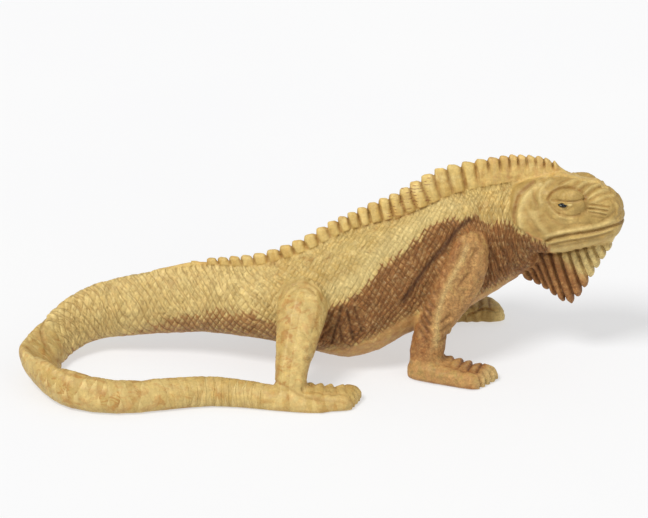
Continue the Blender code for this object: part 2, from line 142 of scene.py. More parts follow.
# Carved lines on the head, as they lie in the picture: points, width in units, depth in millimetres
HEAD_LINES = [
    ([(545, 177), (535.5, 186), (532.8, 196), (535.5, 205)], 1.3, 0.8),
    ([(533, 182), (519.6, 194), (515, 206), (513.4, 216), (514.5, 227)], 1.8, 1.9),
    ([(546, 199.4), (550, 193.3), (558.8, 188.5), (569.6, 187.9), (578.3, 191), (583.7, 196.6), (583, 201)],
     1.3, 1.4),
    ([(583, 201), (585, 207), (583.7, 211), (578, 217)], 2.2, 0.5),
    ([(546.9, 202), (551.2, 209.5), (558.8, 215), (569.6, 217), (578.3, 215)], 1.3, 0.8),
    ([(544.7, 212.8), (552.3, 221.5), (563, 225.8), (574, 224.7)], 1.7, 0.5),
    ([(552, 206), (557, 210.5), (564, 211), (570, 208)], 0.9, 0.45),
    ([(545, 241.4), (555.4, 237.4), (573, 234), (592.5, 231.2), (610, 226.5), (622, 222)], 1.2, 1.5),
    ([(541, 246), (549, 245.5), (560, 242.5), (578, 239.5), (595, 236.5), (611, 231.5)], 1.2, 0.7),
    ([(553, 247.5), (566, 245.5), (584, 241.5)], 1.0, 0.5),
    ([(587, 205), (597, 206), (607, 207.5)], 1.0, 0.8),
    ([(586, 209), (596, 210), (605, 211.5)], 1.0, 0.8),
    ([(588, 213), (596, 214), (603, 215.5)], 1.0, 0.6),
    ([(590, 217), (603, 219)], 1.0, 0.5),
    ([(571, 187), (579, 181), (588, 177)], 1.1, 0.75),
    ([(578, 191), (586, 185), (596, 181.5)], 1.1, 0.8),
    ([(585, 196), (594, 189), (603, 187)], 1.1, 0.75),
    ([(588, 200.5), (598, 195), (609, 193)], 1.1, 0.6),
    ([(596, 203), (606, 199.5), (615, 199)], 1.0, 0.45),
    ([(590, 178), (596, 184), (604, 190)], 1.0, 0.4),
    ([(582, 181), (587, 187)], 0.9, 0.35),
    ([(604, 190), (611, 196), (617, 204)], 1.0, 0.4),
    ([(558, 184), (574, 176)], 1.3, 0.8),
    ([(545, 188), (560, 178)], 1.3, 0.5),
    ([(609, 201), (613, 207), (614, 214)], 1.0, 0.5),
    ([(614, 198), (618, 205), (619, 213)], 1.0, 0.5),
    ([(520, 206), (531.5, 223.5), (538, 235.5)], 2.6, 0.6),
    ([(541, 216), (546, 226), (551, 234)], 2.4, 0.5),
    ([(527, 200), (529, 212), (534, 220)], 2.0, 0.4),
    ([(560, 230), (575, 228), (590, 224)], 1.6, 0.35),
    ([(537, 262), (545, 258), (556, 254)], 1.5, 0.8),
    ([(524, 212), (528, 224), (534, 233)], 1.8, 0.5),
    ([(536, 208), (539, 219), (545, 229)], 1.8, 0.45),
    ([(553, 232), (566, 228.5), (580, 224)], 1.4, 0.4),
    ([(598, 222), (606, 218), (612, 212)], 1.2, 0.45),
    ([(603, 226), (612, 221), (620, 213)], 1.1, 0.4),
    ([(523, 196), (530, 188), (540, 181)], 1.5, 0.45),
]
HEAD_RIDGES = [
    ([(539, 184), (525.5, 195), (520.5, 206), (518.5, 216), (519.5, 227)], 3.0, 1.0),
    ([(549, 180), (541, 188), (538, 196), (540, 205)], 2.6, 0.6),
    ([(546, 236), (560, 232.5), (578, 229.5), (595, 226.5), (612, 221)], 2.2, 0.9),
    ([(547, 243.6), (560, 240.6), (578, 237.6), (595, 234.6), (610, 229.5)], 1.2, 0.6),
    ([(575, 189), (583, 183), (592, 179.5)], 1.4, 0.75),
    ([(582, 194), (590, 187.5), (600, 184)], 1.4, 0.8),
    ([(587, 198.5), (597, 192), (606, 190)], 1.4, 0.7),
    ([(592, 202.5), (603, 197), (612, 196)], 1.3, 0.5),
    ([(564, 184.5), (580, 177)], 1.6, 0.6),
    ([(587, 207), (606, 209.5)], 1.0, 0.5),
    ([(587, 211), (604, 213.5)], 1.0, 0.5),
    ([(548, 207), (553, 213), (560, 217.5), (570, 219)], 1.4, 0.5),
    ([(530, 214), (536, 224), (544, 232)], 3.0, 0.5),
]
LID_EDGE = [(550, 201), (556, 201.6), (562, 202.2), (568, 202.8), (575, 202.2), (582, 200)]
LID_MIDDLE = (565, 195.2)
LID_REACH = (15.5, 6.6)
JAW_EDGE = [(536, 251), (545, 254), (557, 254.5), (573, 251), (586, 248), (599, 243.5), (608, 238)]

THROAT = (538, -20, 104)             # the corner under the jaw where neck and throat fan meet
THROAT_REACH = 16
JAW_CORNERS = [(547, -31.6, 121.2), (558.7, 2.4, 121.2)]
JAW_CORNER_REACH = 11

# Dewlap: root and free edge of each rib, as x and z in the head's middle plane
DEWLAP = [((514, 104), (519, 87)), ((519, 110), (532, 80)), ((524, 114), (541, 77)), ((530, 118), (549, 73)),
          ((536, 122), (557, 67)), ((544, 126), (565, 62)), ((553, 130), (574, 61)),
          ((562, 133), (581.5, 71)), ((570, 136), (588, 83)), ((578, 139), (593.5, 95)),
          ((586, 142), (599, 106)), ((593, 145), (604, 116)), ((600, 148), (610, 127)),
          ((605, 151), (614.5, 137))]

# Crest: where its teeth point, its height above the back, and its lean as a share of the back's slope
TEETH = (209.5, 220.5, 232.5, 244, 256.5, 270, 283, 295, 307, 319, 330, 340.5, 350, 360, 370.5, 382, 392,
         402.5, 412.5, 424, 437.5, 450, 465.5, 479, 491, 502.5, 511.5, 520, 529, 538, 546, 555)
CREST = [(150, 1.5), (180, 3.5), (203, 6), (225, 8.5), (250, 12), (300, 13), (345, 15.5), (375, 22.5),
         (400, 26.5), (425, 29.5), (450, 30), (475, 29.5), (500, 29), (520, 28), (540, 26.5), (554, 22)]
CREST_LEAN = 0.9
NOTCH = 0.66                         # where the notch lies between one tooth's tip and the next

# Lines on the flank and the legs
FLANK_LINES = [
    ([(341.8, 307.6), (331.6, 343)], 1.9, 1.3),
    ([(339.3, 320), (341.8, 343)], 1.6, 1.1),
    ([(347, 310), (353.3, 339)], 1.9, 1.2),
    ([(354.6, 307.6), (362, 332)], 1.6, 1.0),
    ([(333, 326.7), (321.4, 338)], 1.6, 1.0),
    ([(333, 312), (324, 330)], 1.6, 0.9),
    ([(300, 252), (310, 245), (322.5, 238), (337, 233)], 0.9, 0.4),
    ([(337, 233), (352, 226), (369, 223.5), (386.5, 220), (397, 216.6), (421, 208.8), (440, 199)], 1.0, 1.0),
    ([(490, 248), (497, 262), (500, 272)], 1.6, 0.9),
    ([(500, 246), (507, 258), (510, 268)], 1.6, 0.9),
    ([(511, 246), (518, 256), (524, 262)], 1.5, 0.8),
    ([(482, 252), (488, 268), (490, 279)], 1.5, 0.7),
]
ARMPIT = [(403, 300), (416, 281), (430, 262), (444, 247), (456, 231), (468, 220)]
FRONT_LEG_LINES = [
    ([(419.6, 300), (431, 315)], 1.6, 1.0),
    ([(418.4, 307.6), (429.8, 324)], 1.6, 1.0),
    ([(418.4, 317.8), (428.6, 331.8)], 1.6, 1.0),
    ([(421, 291), (434, 307)], 1.6, 0.8),
    ([(425, 281), (437, 296)], 1.5, 0.7),
    ([(420, 329), (427, 342)], 1.5, 0.7),
    ([(441, 322), (450, 315)], 1.5, 0.8),
    ([(441, 331), (449, 325)], 1.5, 0.8),
    ([(440, 341), (448, 335)], 1.5, 0.8),
    ([(468, 262), (476, 250)], 1.6, 0.6),
    ([(458, 285), (468, 274)], 1.6, 0.6),
    ([(470, 226), (482, 240)], 1.5, 0.5),
    ([(455, 262), (462, 244)], 1.6, 0.5),
]
HIND_LEG_LINES = [
    ([(308, 340), (315, 338)], 1.5, 0.35),
    ([(307, 350), (312, 348)], 1.5, 0.4),
    ([(306, 359), (311, 357)], 1.5, 0.4),
    ([(284, 326), (293, 341)], 1.8, 0.35),
    ([(281, 336), (291, 352)], 1.8, 0.35),
    ([(286, 316), (297, 330)], 1.6, 0.3),
    ([(290, 285), (304, 279), (318, 285)], 2.0, 0.35),
]
TAIL_TIP_EDGE = [(255, 376.4), (275.6, 380), (285.4, 384.5), (298.4, 392), (311.4, 396.4), (324.4, 398.6),
                 (345, 400.8)]
TAIL_TURN_LINES = [
    ([(43, 318), (40.5, 329), (43, 342), (51, 355), (62, 366), (74, 373)], 1.5, 0.9),
    ([(29, 317), (36, 320), (43, 326)], 1.3, 0.6),
    ([(24, 334), (31, 346), (38, 358)], 1.4, 0.45),
    ([(52, 338), (60, 350), (70, 360)], 1.4, 0.4),
    ([(90, 376), (106, 372), (122, 372)], 1.5, 0.4),
    ([(128, 386), (140, 379), (156, 376)], 1.5, 0.4),
]
FAR_FOOT_LINES = [
    ([(472, 317), (478, 314), (483, 311.5), (489, 310)], 1.0, 1.3),
    ([(489, 310), (494, 310.6), (499, 312)], 1.1, 1.0),
    ([(469.6, 318), (469.6, 323)], 0.8, 0.8),
    ([(486, 298), (487, 306)], 0.9, 0.9),
    ([(493, 300), (494.5, 305.5)], 0.8, 0.7),
    ([(498, 303), (499.5, 307.5)], 0.8, 0.6),
    ([(479, 301), (484, 307)], 0.9, 0.5),
]
THIGH_MIDDLE = (303, 303)
THIGH_ARCS = (10, 14.5, 19, 23)

# Where the brown stain starts and ends on the flanks, as picture rows by picture column
STAIN_TOP = [(60, 349), (83, 339), (113, 331), (143, 323), (180, 311), (208, 306), (236, 305), (264, 310),
             (292, 317), (318, 314), (329, 307), (342, 302), (358, 294), (371, 281), (380, 266),
             (393, 258), (412, 243), (424, 232), (436, 222), (446, 218), (461, 219), (472, 214), (482, 218),
             (491, 223), (508, 224), (518, 231), (529, 236), (543, 242)]
STAIN_END = [(300, 400), (318, 349), (352, 346), (377, 333), (403, 318), (425, 309), (450, 306), (470, 297),
             (488, 289), (505, 280), (519, 276), (535, 290), (560, 310)]
CHEEK_EDGE = [(505, 214), (513, 223), (530, 237), (545, 243), (556, 246)]
# Row and column of the stain's edge on the front leg, from its foot up
LEG_STAIN_EDGE = [(345, 436), (319, 437), (289, 446), (258, 461.6), (247, 466)]
LEG_RIDGE = [(466, 247), (461.6, 258), (453, 275), (446, 289), (440, 305), (437, 319), (436, 345)]


def smooth_line(keys, per_span=6):
    """Points on a Catmull-Rom curve through the keys."""
    rows = [np.array(key, float) for key in keys]
    rows = [2 * rows[0] - rows[1], *rows, 2 * rows[-1] - rows[-2]]
    found = []
    for before, start, end, after in zip(rows, rows[1:], rows[2:], rows[3:]):
        for t in np.arange(per_span) / per_span:
            found.append(0.5 * (2 * start + (end - before) * t
                                + (2 * before - 5 * start + 4 * end - after) * t ** 2
                                + (3 * start - before - 3 * end + after) * t ** 3))
    return np.array(found + [rows[-2]])


def step(low, high, value):
    """0 below low, 1 above high, with a smooth rise between them."""
    t = np.clip((value - low) / (high - low), 0, 1)
    return t * t * (3 - 2 * t)


def bell(away, width):
    """1 at no distance, and almost 0 from twice the width on."""
    return np.exp(-(away / width) ** 2)


def uneven(points, size, seed):
    """Smooth noise between 0 and 1, with lumps of the given size."""
    table = np.random.default_rng(seed).random((32, 32, 32))
    spot = points / size
    cell = np.floor(spot).astype(int)
    part = spot - cell
    part = part * part * (3 - 2 * part)
    total = np.zeros(len(points))
    for corner in np.ndindex(2, 2, 2):
        share = np.prod(np.where(corner, part, 1 - part), axis=1)
        i, j, k = ((cell + corner) % 32).T
        total += share * table[i, j, k]
    return total


def away_from(line, u, v, reach):
    """Distance from a line in a plane, worked out only within reach of it."""
    found = np.full(len(u), 1e3)
    line = np.asarray(line, float)
    near = ((u > line[:, 0].min() - reach) & (u < line[:, 0].max() + reach)
            & (v > line[:, 1].min() - reach) & (v < line[:, 1].max() + reach))
    un, vn = u[near], v[near]
    best = np.full(len(un), 1e3)
    for (ax, ay), (bx, by) in zip(line, line[1:]):
        dx, dy = bx - ax, by - ay
        share = np.clip(((un - ax) * dx + (vn - ay) * dy) / (dx * dx + dy * dy), 0, 1)
        best = np.minimum(best, np.hypot(un - ax - share * dx, vn - ay - share * dy))
    found[near] = best
    return found


def cut_along(lines, u, v):
    """Depth in millimetres of grooves along lines in the picture, tapered at their ends."""
    depth = np.zeros(len(u))
    for keys, width, deep in lines:
        away = away_from(smooth_line(keys), u, v, width * 3)
        depth = np.maximum(depth, deep * bell(away, width))
    return depth


def head_axes():
    """The head's directions forward, left and up."""
    turn, lift = math.radians(HEAD_TURN), math.radians(HEAD_LIFT)
    forward = np.array((math.cos(lift) * math.cos(turn), -math.cos(lift) * math.sin(turn), math.sin(lift)))
    left = np.array((math.sin(turn), math.cos(turn), 0))
    return forward, left, np.cross(forward, left)


def picture(points):
    """Column and row at which the picture shows points of the drawing."""
    row = PICTURE_FLOOR - math.sin(CAMERA_HEIGHT) * points[:, 1] - math.cos(CAMERA_HEIGHT) * points[:, 2]
    return points[:, 0], row


def limb_distance(points, stations):
    """Distance from a limb's middle line as a share of its radius."""
    best = np.full(len(points), 1e3)
    for start, end in zip(stations, stations[1:]):
        a, b = np.array(start[:3], float), np.array(end[:3], float)
        run = b - a
        share = np.clip((points - a) @ run / (run @ run), 0, 1)
        away = np.linalg.norm(points - a - share[:, None] * run, axis=1)
        best = np.minimum(best, away / (start[3] + (end[3] - start[3]) * share))
    return best


def beside_backbone(at):
    """Each point's place along and around tail, trunk and neck, and in the picture of the right flank."""
    rows = smooth_line(BACKBONE, POINTS_PER_ROW)
    middle = rows[:, :2]
    heading = np.gradient(middle, axis=0)
    heading /= np.linalg.norm(heading, axis=1)[:, None]
    length = np.concatenate([[0], np.cumsum(np.linalg.norm(np.diff(middle, axis=0), axis=1))])
    nearest = np.empty(len(at.points), int)
    for some in np.array_split(np.arange(len(at.points)), 40):
        offset = at.points[some, None, :2] - middle[None]
        nearest[some] = np.argmin((offset ** 2).sum(axis=2), axis=1)
    offset = at.points[:, :2] - middle[nearest]
    ahead = heading[nearest]
    at.along = length[nearest] + (offset * ahead).sum(axis=1)
    at.stations = length[::POINTS_PER_ROW]
    low, high, half, lean = (np.interp(at.along, length, rows[:, k]) for k in (2, 3, 4, 5))
    share = np.clip((at.z - low) / (high - low), -0.2, 1.2)
    at.across = ahead[:, 0] * offset[:, 1] - ahead[:, 1] * offset[:, 0] - lean * share
    centre = low + (high - low) * 0.46
    tall = np.where(at.z > centre, high - centre, centre - low)
    at.angle = np.arctan2(np.abs(at.across) / half, (at.z - centre) / tall)
    at.around = at.angle * 0.5 * (half + 0.5 * (high - low))
    at.bulk = ((np.abs(at.across) / half) ** 2.2 + (np.abs(at.z - centre) / tall) ** 2.2) ** (1 / 2.2)
    at.over = at.z - high
    at.body = at.along > at.stations[TAIL_TURN_ROW]
    at.tail = ~at.body
    flank = at.points.copy()
    middle_y = middle[nearest][:, 1]
    flank[:, 1] = middle_y - np.abs(at.y - middle_y)
    at.flank_u, at.flank_v = picture(flank)
    at.below_top = at.flank_v - np.interp(at.flank_u, *np.array(STAIN_TOP).T)
    at.below_end = at.flank_v - np.interp(at.flank_u, *np.array(STAIN_END).T)


def beside_head(at):
    """Each point's place along, beside and above the head's axis, and in the picture of its right side."""
    forward, left, up = head_axes()
    from_head = at.points - np.array(HEAD_START, float)
    at.h, at.w, at.v = from_head @ forward, from_head @ left, from_head @ up
    facing = (np.array(HEAD_START) + at.h[:, None] * forward - np.abs(at.w)[:, None] * left
              + at.v[:, None] * up)
    at.head_u, at.head_v = picture(facing)


def regions(at):
    """How much each point belongs to the head, crest, throat fan, legs, feet and the rest."""
    on_head = step(-6, -1, at.h) * step(-46, -40, at.v) * (at.z > 96)
    under_cheek = step(-1.5, 1.5, at.head_v - np.interp(at.head_u, *np.array(CHEEK_EDGE).T))
    on_head *= 1 - under_cheek * step(552, 544, at.head_u)
    at.crest = step(0.0, 2.5, at.over) * step(9.0, 7.0, np.abs(at.across)) * at.body * (at.x > 150)
    at.dewlap = step(10, 8.5, np.abs(at.w)) * step(-33, -38, at.v) * (at.x > 505) * (at.z > 50)
    at.head = on_head * (1 - at.crest) * (1 - at.dewlap)

    off_trunk = step(1.05, 1.16, at.bulk)
    for name, (right, mirror, spread, forwards) in LEGS.items():
        last = len(right) - 1
        left = [(x + forwards * k / last, -y + 2 * mirror + spread * k / last, z, radius)
                for k, (x, y, z, radius) in enumerate(right)]
        near = [step(1.45, 1.2, limb_distance(at.points, leg)) for leg in (right, left)]
        setattr(at, name, np.maximum(*near) * off_trunk)
    at.foot, at.foot_along, at.foot_across = feet(at.points)
    at.hind_leg = at.hind_leg * (1 - at.foot)
    at.front_leg = at.front_leg * (1 - at.head) * (1 - at.dewlap) * (1 - at.foot)
    at.trunk = np.clip(1 - at.head - at.crest - at.dewlap - at.hind_leg - at.front_leg - at.foot, 0, 1)
    at.in_front = at.x > FRONT_FEET


def survey(points):
    """Where each point of the surface lies on the animal."""
    at = SimpleNamespace(points=points)
    at.x, at.y, at.z = points.T
    at.row = picture(points)[1]
    beside_backbone(at)
    beside_head(at)
    regions(at)
    return at


def feet(points):
    """How much each point belongs to a foot, and its place along and across that foot."""
    belongs = np.zeros(len(points))
    along, across = np.zeros(len(points)), np.zeros(len(points))
    for heel_x, heel_y, heading, length, half, side in FEET:
        turn = math.radians(heading) * side
        forward = np.array((math.cos(turn), math.sin(turn)))
        outward = np.array((-math.sin(turn), math.cos(turn))) * side
        offset = points[:, :2] - (heel_x, heel_y)
        a, b = offset @ forward / length, offset @ outward / half
        here = (step(-0.08, -0.02, a) * step(1.12, 1.06, a) * step(1.3, 1.15, np.abs(b))
                * step(FOOT_HEIGHT + 4, FOOT_HEIGHT - 1, points[:, 2] + 6 * (a > 0.35)))
        better = here > belongs
        belongs = np.where(better, here, belongs)
        along, across = np.where(better, a, along), np.where(better, b, across)
    return belongs, along, across


def counted_scales(at):
    """Counts the scales along two crossing families of cuts: a cut lies wherever its count is whole."""
    drift = 4.5 * (uneven(at.points, 20, 1) - 0.5) + 2.0 * (uneven(at.points, 7, 2) - 0.5)
    sway = 4.5 * (uneven(at.points, 20, 3) - 0.5) + 2.0 * (uneven(at.points, 7, 4) - 0.5)
    rows, long, wide = np.array(SCALE_SIZES).T
    places = at.stations[rows.astype(int)]
    fine = np.arange(-40, at.stations[-1] + 80)
    counts = np.cumsum(1 / np.interp(fine, places, long))
    lengthwise = np.interp(at.along + drift, fine, counts)
    crosswise = (at.around + sway) / np.interp(at.along, places, wide)
    return lengthwise + crosswise, lengthwise - crosswise


def from_whole(count):
    """Distance of a count from the nearest whole number."""
    return np.abs(count - np.round(count))


def carve_scales(at):
    """The crossing cuts between the scales of tail, trunk and neck; each scale rises towards its tip."""
    first, second = counted_scales(at)
    at.first_cuts, at.second_cuts = first, second
    own = np.random.default_rng(21).random((64, 64))[np.floor(first).astype(int) % 64,
                                                     np.floor(second).astype(int) % 64]
    in_stain = step(-4, 6, at.below_top)
    at.backhand = np.maximum(step(452, 474, at.x) * in_stain, step(300, 262, at.x)) * at.body
    shallow_first, shallow_second = 0.35 * own * at.backhand, 0.35 * own * (1 - at.backhand)
    edge = np.minimum(2 * from_whole(first) + shallow_first, 2 * from_whole(second) + shallow_second)
    height = step(0.0, 0.6, edge) * (0.62 + 0.38 * own)
    tip = np.clip(0.5 + 0.5 * ((second - np.floor(second)) - (first - np.floor(first))), 0, 1)
    on_root = step(*ROOT_OF_TAIL, at.x) * at.body
    depth = 0.62 + 0.06 * on_root - 0.22 * at.tail
    depth = depth * (0.55 + 0.9 * uneven(at.points, 9, 5))
    # the underside stays smooth, and so does the strip of the belly and chest below the stain
    smooth_part = np.maximum(step(2.35, 2.75, at.angle), step(-2, 5, at.below_end) * (at.x > 300))
    at.scale_depth = depth * (1 - 0.85 * smooth_part)

    softer = 1 - 0.3 * on_root - 0.6 * at.tail
    rough = at.trunk * np.clip(at.scale_depth / 0.6, 0, 1)
    at.cut = at.scale_depth * (1 - height) * at.trunk * softer
    at.dark = (1 - height) ** 1.5 * rough * 0.25
    at.raised = 0.38 * height * (tip - 0.4) * rough * softer
    at.height = height * at.trunk


def carve_head(at):
    """Raises the head's ridges, eyelids and bumps, and tells how deep its creases and lid edge are."""
    lines = cut_along(HEAD_LINES, at.head_u, at.head_v) * at.head
    at.worn = cut_along(HEAD_RIDGES, at.head_u, at.head_v) * at.head
    on_side = (np.abs(at.w) > 15) * at.head
    under_lid = at.head_v - np.interp(at.head_u, *np.array(LID_EDGE).T)
    off_lid = (((at.head_u - LID_MIDDLE[0]) / LID_REACH[0]) ** 2
               + ((at.head_v - LID_MIDDLE[1]) / LID_REACH[1]) ** 2)
    lid_dome = np.clip(1 - off_lid, 0, 1) ** 0.6 * on_side * step(0.8, -0.2, under_lid)
    lid = 0.8 * bell(away_from(smooth_line(LID_EDGE), at.head_u, at.head_v + 0.6, 4), 1.0) * on_side
    at.raised = at.raised + at.worn + 1.1 * lid_dome
    for (h, v, w), size, rise in ((FAR_BROW, 8, -1.1), (NOSE_BUMP, 7, 1.7)):
        away = (at.h - h) ** 2 + (at.v - v) ** 2 + (at.w - w) ** 2
        at.raised = at.raised + rise * np.exp(-away / size ** 2)
    return lines + lid


def carve_lines(at):
    """The lines on head, flanks, legs and tail."""
    head = carve_head(at)
    flank = cut_along(FLANK_LINES, at.flank_u, at.flank_v) * at.trunk
    lines = cut_along(FRONT_LEG_LINES, at.x, at.row) * at.front_leg
    lines += cut_along(HIND_LEG_LINES, at.x, at.row) * at.hind_leg
    tip_edge = cut_along([(TAIL_TIP_EDGE, 1.3, 0.8)], at.x, at.row)
    lines += 0.6 * tip_edge * np.maximum(at.foot, at.tail) * (at.y < -100)
    lines += cut_along(TAIL_TURN_LINES, at.x, at.row) * at.trunk * (at.x < BACK_START)
    at.cut += head + flank + lines
    # along the upper lid's edge this dark is painted shadow under the lid
    at.dark = np.maximum(at.dark, np.clip(head * 0.72 + (flank + lines) * 0.85, 0, 1))


def carve_crest(at):
    """Notches between the crest's teeth, and its thick upper edge."""
    places, tops = np.array(BACKBONE[CREST_ROW:], float)[:, (0, 3)].T
    on_back = at.body & (at.x > BACK_START) & (at.x < 590)
    lean = CREST_LEAN * np.interp(at.x, places, np.gradient(tops, places))
    height = np.interp(at.x - lean * 10, *np.array(CREST).T)
    phase = np.interp(at.x - lean * (height - at.over), TEETH, np.arange(len(TEETH)), left=0, right=0)
    phase = phase - np.floor(phase)
    up_fin = np.clip(at.over / np.maximum(height, 1), 0, 1.2)
    fade = step(0.0, 0.12, up_fin) * (1 - step(462, 490, at.x) * step(0.75, 0.35, up_fin))
    notch = bell(phase - NOTCH, 0.13) * fade * at.crest * on_back
    edge = 0.95 * (1 - at.sideways) * step(0.5, 0.8, up_fin) * step(565, 540, at.x)
    at.cut += 1.15 * notch * at.sideways
    at.raised = at.raised + at.crest * on_back * (0.35 * (1 - notch) * at.sideways + edge)
    at.dark = np.maximum(at.dark, 0.9 * notch)


def carve_throat_fan(at):
    """Grooves between the throat fan's ribs, and the cut under the jaw, painted dark as the jaw's shadow."""
    between = [([(np.array(p) + q) / 2 for p, q in zip(this, following)], 1.5, 1.0)
               for this, following in zip(DEWLAP, DEWLAP[1:])]
    grooves = cut_along(between, at.x - 0.33 * at.w, at.z) * at.dewlap
    jaw = bell(away_from(smooth_line(JAW_EDGE), at.head_u, at.head_v, 6), 1.5)
    jaw = jaw * np.maximum(at.dewlap, 0.5 * at.head)
    darkness = 0.9 - 0.45 * step(570, 595, at.x)
    at.cut += grooves * (0.5 + 0.8 * at.sideways) + 1.1 * jaw
    at.raised = at.raised + at.dewlap * (1 - grooves) * (0.7 - 0.2 * at.sideways)
    # the dark along the jaw's edge is painted shadow under the jaw's overhang; in the rib grooves it is
    # stain in the cuts
    at.dark = np.maximum(at.dark, np.clip(darkness * grooves + 0.7 * jaw, 0, 1))


def carve_bare_parts(at):
    """Arcs on the thighs, flats and creases where there are no scales, and the ridge down the front legs
    with its painted highlight.
    """
    thigh_u, thigh_v = at.flank_u - THIGH_MIDDLE[0], at.flank_v - THIGH_MIDDLE[1]
    radius = np.hypot(thigh_u, thigh_v * 0.9)
    arcs = sum(bell(radius - reach, 0.9) for reach in THIGH_ARCS)
    arcs *= at.hind_leg * step(8, -2, thigh_v)
    flats = (np.abs(uneven(at.points, 11, 6) - 0.5) + np.abs(uneven(at.points, 7, 7) - 0.5)) * 2
    bare = at.hind_leg + at.front_leg + 0.6 * at.foot + 0.7 * at.head + 0.45 * at.tail * at.trunk
    creases = step(0.22, 0.02, flats) * bare
    at.cut += 0.50 * arcs + 0.45 * creases - 0.5 * bare * (flats - 0.5)
    at.dark = np.maximum(at.dark, 0.5 * arcs * (0.4 + uneven(at.points, 9, 8)) + 0.40 * creases)

    from_ridge = away_from(smooth_line(LEG_RIDGE), at.flank_u, at.flank_v, 14)
    at.raised = at.raised + 1.9 * np.exp(-from_ridge / 5.0) * at.front_leg
    # a painted highlight along the front leg's ridge
    at.ridge = 0.75 * bell(from_ridge, 2.6) * at.front_leg


def bands_on_foot(at, shift, outer, inner):
    """Narrow bands across the toes, one for each knuckle, moved along by a share of the foot's length."""
    bands = sum(bell(at.foot_along - (share + shift + 0.02 * at.foot_across), 0.014) for share in KNUCKLES)
    return bands * (at.foot * step(outer, inner, at.foot_across) * step(6, 10, at.z))


def carve_feet(at):
    """Knuckle cuts, the step beside them, and the toe lines of the far front foot."""
    far = (at.y > 30) & at.in_front
    knuckles = bands_on_foot(at, 0, 0.55, 0.25) * (1 - far * step(-0.55, -0.75, at.foot_across))
    at.knuckle_tops = bands_on_foot(at, -0.05, 0.45, 0.2)
    toes = cut_along(FAR_FOOT_LINES, at.x, at.row) * at.foot * far
    at.cut += toes
    at.dark = np.maximum(at.dark, np.clip(0.85 * toes, 0, 1))
    beside = bell(at.foot_across - 0.5, 0.06) * at.foot * step(0.30, 0.36, at.foot_along)
    beside *= step(0.86, 0.8, at.foot_along) * step(6, 10, at.z)
    at.cut += (0.75 + 0.45 * at.in_front) * knuckles + 0.7 * beside
    at.dark = np.maximum(at.dark, np.clip((0.5 + 0.4 * at.in_front) * knuckles + 0.5 * beside, 0, 1))


def carve_root_of_crest(at):
    """The shallow groove along the crest's root, dark above the shoulder."""
    root = bell(at.over - 1.2, 1.1) * at.body * (at.x > BACK_START) * step(10, 8, np.abs(at.across))
    root *= step(3.0, 4.2, np.abs(at.across)) * (1 - at.head)
    at.cut += 0.35 * root
    at.dark = np.maximum(at.dark, root * (0.35 + 0.65 * step(330, 350, at.x) * step(450, 440, at.x)))


def carving(at):
    """How far each point is cut in, in millimetres, and how dark the cuts are."""
    at.sideways = np.abs(at.normals @ head_axes()[1]) ** 2
    carve_scales(at)
    carve_lines(at)
    carve_crest(at)
    carve_throat_fan(at)
    carve_bare_parts(at)
    carve_feet(at)
    carve_root_of_crest(at)
    facets = 0.55 * (uneven(at.points, 13, 9) - 0.5) + 0.40 * (uneven(at.points, 5, 10) - 0.5)
    at.cut += facets * (1 - 0.6 * at.crest) * (1 - 0.5 * at.dewlap) * (1 - 0.45 * at.tail)
    at.cut -= at.raised
    at.dark = np.clip(at.dark, 0, 1)


def eye_place(at):
    """Each point's place along and above the middle of the eye, and whether it's on the eye's side."""
    return at.h - EYE[0], at.v - EYE[1] + 0.10 * (at.h - EYE[0]), np.abs(at.w) > 14


def staining(at):
    """How brown the wood is stained, 0 to 1, and how dark the painted shadow is along the crease behind the
    front leg.
    """
    mottle = 7 * (uneven(at.points, 7, 11) - 0.5)
    on_tail = step(300, 270, at.x)
    edge = at.below_top + mottle * (1 + on_tail) - 6 * (at.height - 0.45)
    strength = 0.92 - 0.37 * on_tail + 0.08 * step(465, 490, at.x)
    flank = step(-3, 5 + 12 * on_tail, edge) * at.body * (at.trunk + at.head * step(30, 18, at.h))
    flank = flank * (strength - (strength - 0.28) * step(7, -5, mottle - at.below_end))
    crest = 0.15 * at.crest * step(455, 500, at.x)
    rows, columns = np.array(LEG_STAIN_EDGE).T
    behind_edge = step(-3, -9, at.flank_u - np.interp(-at.flank_v, -rows, columns))
    legs = at.front_leg * (0.34 + 0.34 * behind_edge)
    low_in_fan = step(16, -16, (at.h - 44) + (at.v + 60) * 0.9)
    fan = at.dewlap * (0.02 + 0.82 * low_in_fan)
    at.pale_fan = np.clip(at.dewlap * (1 - low_in_fan), 0, 1)
    near_front = at.in_front & (at.y < 0)
    on_top = step(0.62, 0.4, at.foot_across) * step(6, 12, at.z)
    toe_end = step(0.80, 0.93, at.foot_along)
    brown_feet = at.foot * (0.10 + near_front * (0.12 + 0.62 * on_top * (1 - 0.75 * toe_end)))
    brown_feet = brown_feet + 0.30 * at.foot * near_front * step(7, 2, at.z) * (1 - toe_end)
    at.stain = np.clip(flank + crest + legs + fan + brown_feet, 0, 1) * (1 - 0.8 * at.pale_fan)
    # painted shadow along the crease where the front leg meets the trunk
    armpit = away_from(smooth_line(ARMPIT), at.flank_u, at.flank_v, 20)
    at.grime = np.clip(bell(armpit, 2.6) * (at.trunk + at.front_leg) * at.body, 0, 1)


def select_only(piece):
    """Selects one object and makes it the active one."""
    bpy.ops.object.select_all(action="DESELECT")
    piece.select_set(True)
    bpy.context.view_layer.objects.active = piece


def apply(piece, kind, **settings):
    """Adds a modifier, sets it and applies it."""
    select_only(piece)
    bpy.ops.object.modifier_add(type=kind)
    modifier = piece.modifiers[-1]
    for name, value in settings.items():
        setattr(modifier, name, value)
    bpy.ops.object.modifier_apply(modifier=modifier.name)


def corners_of(piece, what="co"):
    """Places, or normals, of an object's vertices as rows of an array."""
    flat = np.empty(len(piece.data.vertices) * 3)
    piece.data.vertices.foreach_get(what, flat)
    return flat.reshape(-1, 3)


def to_drawing(metres):
    """Places in the room turned into units of the drawing."""
    low = np.array(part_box("iguana")[0])
    return (metres - low) / UNIT + np.array(DRAWING_LOW)


